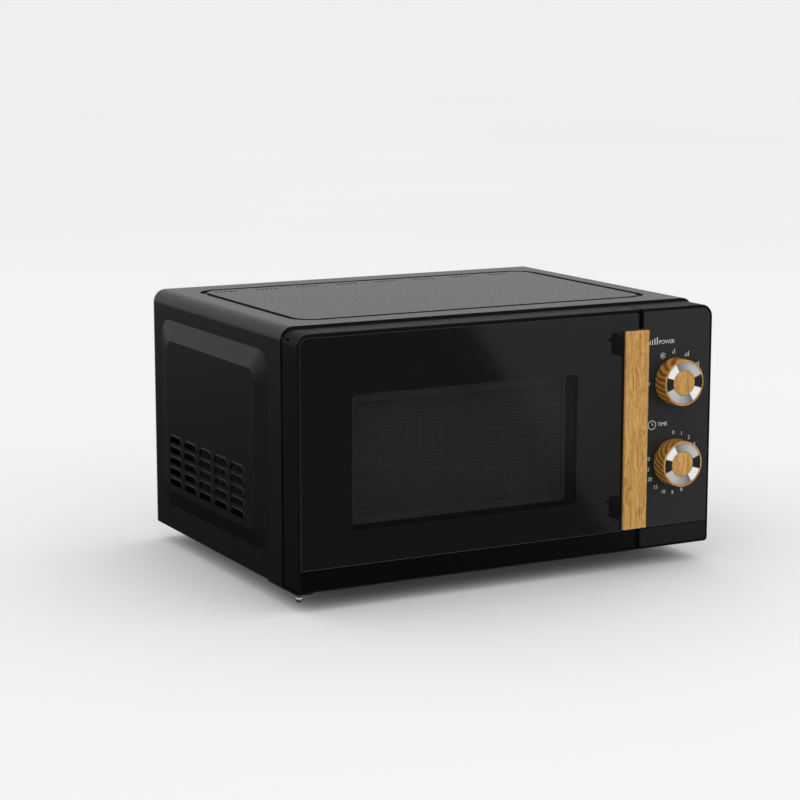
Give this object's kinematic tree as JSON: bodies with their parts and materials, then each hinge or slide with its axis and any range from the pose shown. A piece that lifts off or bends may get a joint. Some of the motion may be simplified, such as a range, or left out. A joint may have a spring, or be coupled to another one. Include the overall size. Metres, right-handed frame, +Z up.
{
  "type": "microwave oven",
  "caption": "Counter-top microwave oven: side-opening glass door with a wood-faced bar handle, two turning controls, glass turntable, louvred steel cover.",
  "frame": {"origin": "middle of the overall box, at the plane under the feet", "axes": "+X to the right seen from the front, +Y from the door to the back, +Z up"},
  "size_m": [0.445, 0.355, 0.25],
  "materials": {
    "cover_paint": "satin black powder coat",
    "back_steel": "plain zinc-coated sheet, lightly painted grey",
    "plain_steel": "plain steel sheet",
    "screw_steel": "zinc-coated",
    "hinge_steel": "zinc-coated",
    "core_steel": "varnished laminations",
    "copper_wire": "enamelled copper wire",
    "can_aluminium": "drawn can",
    "anode_aluminium": "pressed fins",
    "cavity_enamel": "light grey cavity paint",
    "frame_paint": "black paint",
    "mica_sheet": "mica",
    "white_plastic": "moulded",
    "inner_plastic": "moulded black",
    "switch_red": "moulded red",
    "board": "phenolic board",
    "lamp_glass": "clear bulb",
    "tray_glass": "clear toughened glass",
    "body_plastic": "black moulding",
    "fascia_satin": "satin black",
    "trim_plastic": "gloss black",
    "door_glass": "black backed glass with a clear window",
    "screen_steel": "perforated sheet, black",
    "handle_black": "black",
    "oak": "light oak, satin",
    "spun_metal": "spun face",
    "foot_rubber": "moulded rubber"
  },
  "bodies": {
    "cabinet": {"base_plate": "back_steel", "cabinet_screws": "screw_steel", "cavity_front_frame": "frame_paint", "cavity_lamp": "lamp_glass", "cavity_liner": "cavity_enamel", "control_fascia": "fascia_satin", "control_panel_housing": "body_plastic", "cord_bush": "inner_plastic", "fan_motor": "core_steel", "fan_shroud": "white_plastic", "feet": "foot_rubber", "filter_board": "board", "hinge_brackets": "hinge_steel", "hv_capacitor": "can_aluminium", "hv_diode": "inner_plastic", "interlock_switches": "inner_plastic", "lamp_holder": "white_plastic", "latch_holder": "white_plastic", "magnetron_case": "plain_steel", "magnetron_tube": "anode_aluminium", "outer_cover": "cover_paint", "panel_trim": "trim_plastic", "power_switch_body": "inner_plastic", "rear_panel": "back_steel", "thermal_cutouts": "white_plastic", "timer_body": "inner_plastic", "transformer_core": "core_steel", "transformer_windings": "copper_wire", "turntable_motor": "plain_steel", "waveguide": "plain_steel", "waveguide_cover": "mica_sheet"},
    "door": {"door_frame": "body_plastic", "door_glass": "door_glass", "door_trim": "trim_plastic", "door_inner_panel": "frame_paint", "window_screen": "screen_steel", "choke_cover": "inner_plastic", "handle_bar": "handle_black", "handle_wood_face": "oak", "handle_brackets": "handle_black", "handle_screws": "screw_steel"},
    "latch": {"latch_hook": "white_plastic"},
    "power_knob": {"power_knob_body": "oak", "power_knob_ring": "spun_metal", "power_knob_cap": "oak", "power_knob_shaft": "screw_steel"},
    "timer_knob": {"timer_knob_body": "oak", "timer_knob_ring": "spun_metal", "timer_knob_cap": "oak", "timer_knob_shaft": "screw_steel"},
    "coupler": {"turntable_coupler": "white_plastic"},
    "tray": {"glass_tray": "tray_glass"},
    "roller_carrier": {"roller_ring": "white_plastic"},
    "roller_1": {"roller_wheel_1": "white_plastic"},
    "roller_2": {"roller_wheel_2": "white_plastic"},
    "roller_3": {"roller_wheel_3": "white_plastic"},
    "fan": {"fan_blades": "white_plastic"},
    "switch_plunger_upper": {"plunger_upper": "switch_red"},
    "switch_plunger_lower": {"plunger_lower": "switch_red"},
    "switch_plunger_monitor": {"plunger_monitor": "switch_red"}
  },
  "joints": [
    {"name": "door_hinge", "type": "hinge", "parent": "cabinet", "child": "door", "pos_m": [-0.2135, -0.123, 0.13], "axis": [0, 0, -1], "range_deg": [0, 93]},
    {"name": "latch_lift", "type": "slide", "parent": "door", "child": "latch", "axis": [0, 0, 1], "range_m": [0, 0.004], "stiffness_N_per_m": 150, "springref_m": -0.004},
    {"name": "power_knob_turn", "type": "hinge", "parent": "cabinet", "child": "power_knob", "pos_m": [0.1753, -0.15, 0.1772], "axis": [0, 1, 0], "range_deg": [-90, 90]},
    {"name": "timer_knob_turn", "type": "hinge", "parent": "cabinet", "child": "timer_knob", "pos_m": [0.1753, -0.15, 0.0997], "axis": [0, 1, 0], "range_deg": [0, 279]},
    {"name": "turntable_spin", "type": "hinge", "parent": "cabinet", "child": "coupler", "pos_m": [-0.0485, 0.0255, 0.033], "axis": [0, 0, 1], "continuous": true},
    {"name": "tray_lift", "type": "slide", "parent": "coupler", "child": "tray", "axis": [0, 0, 1], "range_m": [0, 0.025]},
    {"name": "roller_ring_spin", "type": "hinge", "parent": "cabinet", "child": "roller_carrier", "pos_m": [-0.0485, 0.0255, 0.033], "axis": [0, 0, 1], "continuous": true},
    {"name": "fan_spin", "type": "hinge", "parent": "cabinet", "child": "fan", "pos_m": [0.17, 0.16, 0.16], "axis": [0, 1, 0], "continuous": true},
    {"name": "roller_1_roll", "type": "hinge", "parent": "roller_carrier", "child": "roller_1", "pos_m": [-0.0485, 0.1175, 0.0395], "axis": [0, 1, 0], "continuous": true},
    {"name": "roller_2_roll", "type": "hinge", "parent": "roller_carrier", "child": "roller_2", "pos_m": [-0.12817, -0.0205, 0.0395], "axis": [-0.866, -0.5, 0], "continuous": true},
    {"name": "roller_3_roll", "type": "hinge", "parent": "roller_carrier", "child": "roller_3", "pos_m": [0.03117, -0.0205, 0.0395], "axis": [0.866, -0.5, 0], "continuous": true},
    {"name": "plunger_upper_press", "type": "slide", "parent": "cabinet", "child": "switch_plunger_upper", "axis": [0, 1, 0], "range_m": [0, 0.002], "stiffness_N_per_m": 300, "springref_m": -0.001},
    {"name": "plunger_lower_press", "type": "slide", "parent": "cabinet", "child": "switch_plunger_lower", "axis": [0, 1, 0], "range_m": [0, 0.002], "stiffness_N_per_m": 300, "springref_m": -0.001},
    {"name": "plunger_monitor_press", "type": "slide", "parent": "cabinet", "child": "switch_plunger_monitor", "axis": [0, 1, 0], "range_m": [0, 0.002], "stiffness_N_per_m": 300, "springref_m": -0.001}
  ],
  "couplings": [
    {"joint": "roller_ring_spin", "follows": "turntable_spin", "ratio": 0.5},
    {"joint": "roller_1_roll", "follows": "turntable_spin", "ratio": -7.6667},
    {"joint": "roller_2_roll", "follows": "turntable_spin", "ratio": -7.6667},
    {"joint": "roller_3_roll", "follows": "turntable_spin", "ratio": -7.6667}
  ]
}
